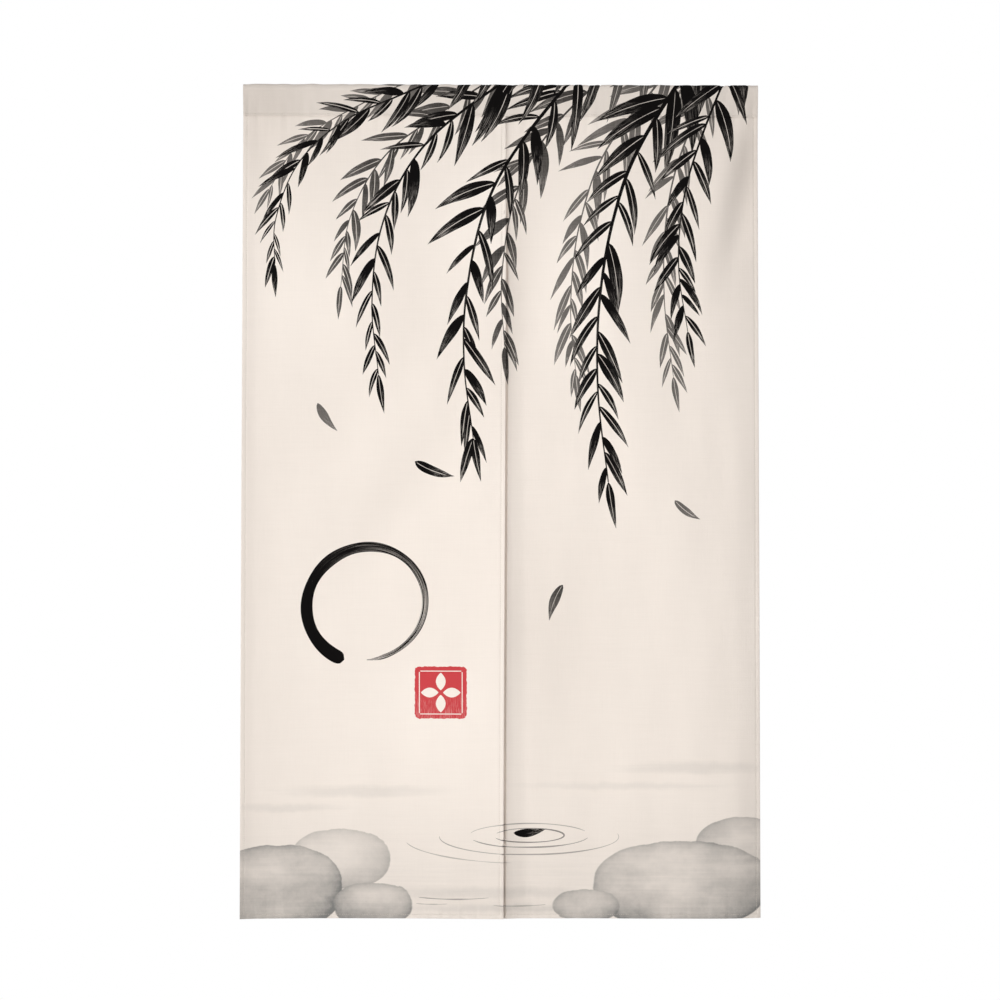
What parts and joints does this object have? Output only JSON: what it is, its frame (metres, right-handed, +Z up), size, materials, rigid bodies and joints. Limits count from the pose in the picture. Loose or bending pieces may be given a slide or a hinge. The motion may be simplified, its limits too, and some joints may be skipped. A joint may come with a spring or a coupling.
{
  "type": "noren doorway curtain",
  "caption": "Doorway curtain of two printed cloth panels that overlap at a central slit, joined at the top under a sleeve for a rod.",
  "frame": {"origin": "middle of the top edge, where a rod in the sleeve carries the curtain", "axes": "+Z up, against the drop; +X to the right as seen from the printed face; the printed face looks towards -Y"},
  "size_m": [0.802, 0.0226, 1.2852],
  "materials": {
    "panel_cloth": "matte plain-woven cotton and linen cloth, cream, printed in black, grey and red",
    "sleeve_cloth": "the same cloth, doubled, so a little deeper in tone"
  },
  "bodies": {
    "root": {"rod_sleeve": "sleeve_cloth", "left_panel": "panel_cloth", "right_panel": "panel_cloth"}
  },
  "joints": []
}
